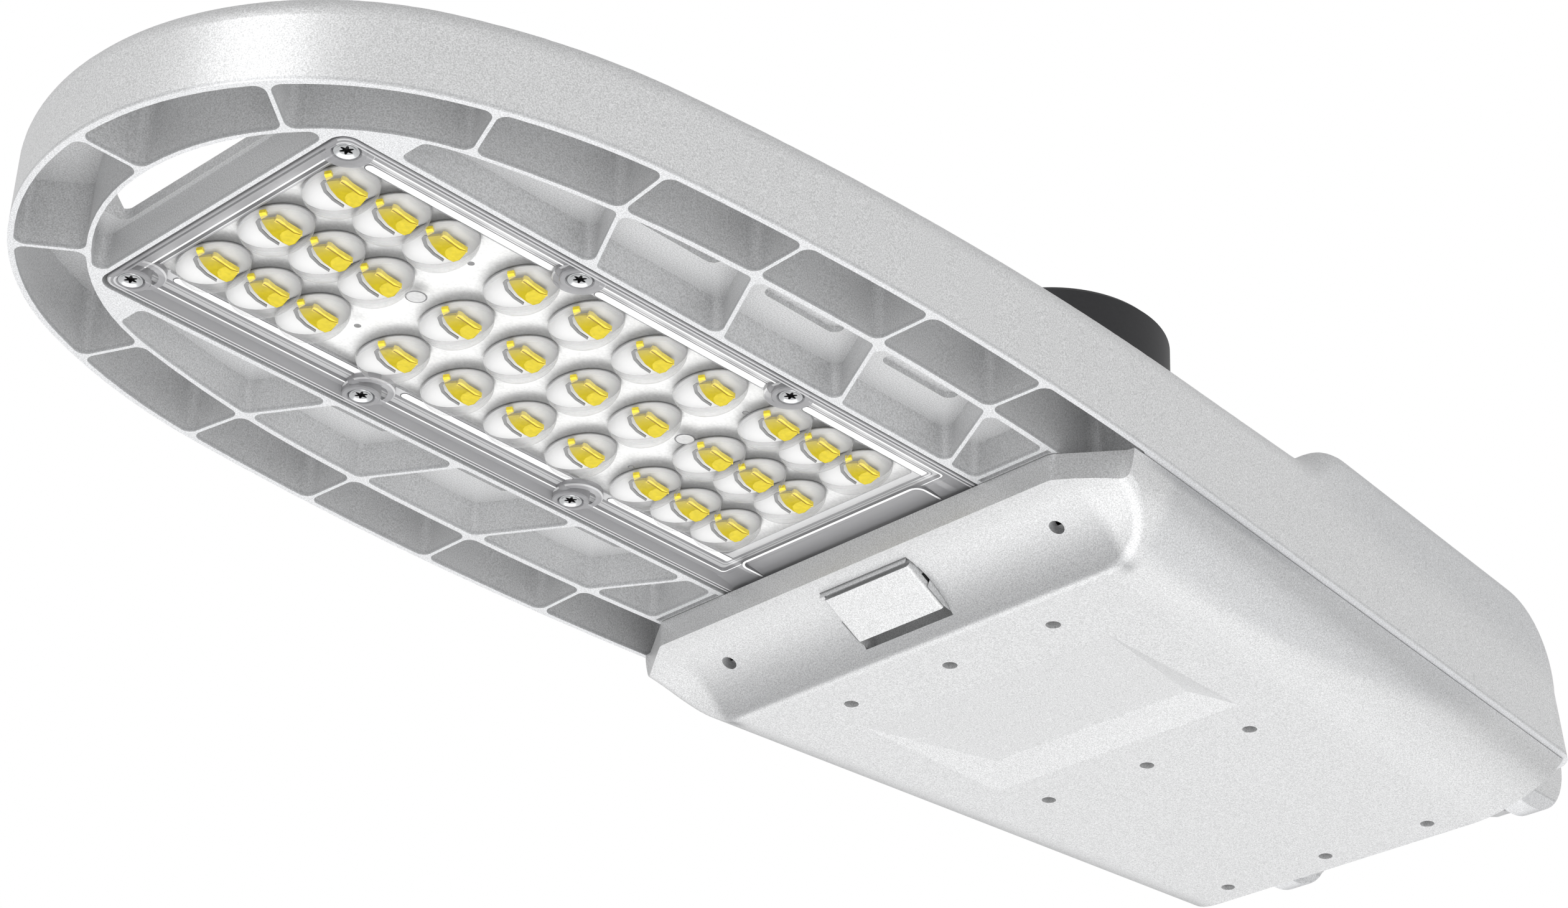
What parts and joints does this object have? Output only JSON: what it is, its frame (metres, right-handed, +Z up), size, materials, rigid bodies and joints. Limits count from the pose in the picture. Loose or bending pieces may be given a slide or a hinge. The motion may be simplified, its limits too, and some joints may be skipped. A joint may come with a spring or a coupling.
{
  "type": "led street light head",
  "caption": "Slim cast street light head with a clear lens over its light sources, a hinged and latched driver door, a twist-on photocontrol and a clamp for a pole's pipe.",
  "frame": {"origin": "centre of the pole pipe's mouth, on the pipe's axis at the rear edge of the housing's rim", "axes": "+X along the pipe's axis towards the nose, +Z up, towards the photocontrol, +Y to the side"},
  "size_m": [0.5584, 0.2056, 0.13],
  "materials": {
    "silver_paint": "satin light grey powder coat",
    "door_paint": "satin light grey powder coat",
    "latch_paint": "satin light grey powder coat",
    "clear_lens": "clear moulded polycarbonate",
    "board_white": "white solder mask",
    "emitter_yellow": "yellow phosphor",
    "screw_steel": "bright stainless steel",
    "seal_rubber": "black silicone",
    "cap_grey": "dark grey moulded plastic",
    "blade_brass": "plain brass",
    "receptacle_black": "black phenolic",
    "spring_steel": "spring steel",
    "clamp_steel": "zinc-plated steel",
    "driver_case": "plain aluminium case",
    "surge_case": "black plastic case",
    "terminal_grey": "light grey plastic"
  },
  "bodies": {
    "head": {"housing": "silver_paint", "lens_plate": "clear_lens", "led_board": "board_white", "led_emitters": "emitter_yellow", "lens_screws": "screw_steel", "lens_gasket": "seal_rubber", "photocontrol_receptacle": "receptacle_black", "receptacle_gasket": "seal_rubber", "receptacle_screws": "screw_steel", "hinge_pins": "screw_steel", "clamp_bar_front": "clamp_steel", "clamp_bar_rear": "clamp_steel", "clamp_washers": "clamp_steel", "clamp_bolts": "clamp_steel", "led_driver": "driver_case", "driver_screws": "screw_steel", "surge_protector": "surge_case", "terminal_block": "terminal_grey", "block_screws": "screw_steel"},
    "door": {"driver_door": "door_paint", "latch_pin": "screw_steel", "latch_spring": "spring_steel", "spring_screw": "screw_steel"},
    "latch": {"door_latch": "latch_paint"},
    "cap": {"photocontrol_cap": "cap_grey", "cap_blades": "blade_brass"}
  },
  "joints": [
    {"name": "door_hinge", "type": "hinge", "parent": "head", "child": "door", "pos_m": [-0.0073, 0, -0.0097], "axis": [0, 1, 0], "range_deg": [0, 70]},
    {"name": "latch_pivot", "type": "hinge", "parent": "door", "child": "latch", "pos_m": [0.247, 0, -0.0315], "axis": [0, -1, 0], "range_deg": [0, 22], "deforming": ["latch_spring"]},
    {"name": "cap_twist", "type": "hinge", "parent": "head", "child": "cap", "pos_m": [0.17, 0, 0.05], "axis": [0, 0, 1], "range_deg": [0, 22]}
  ]
}
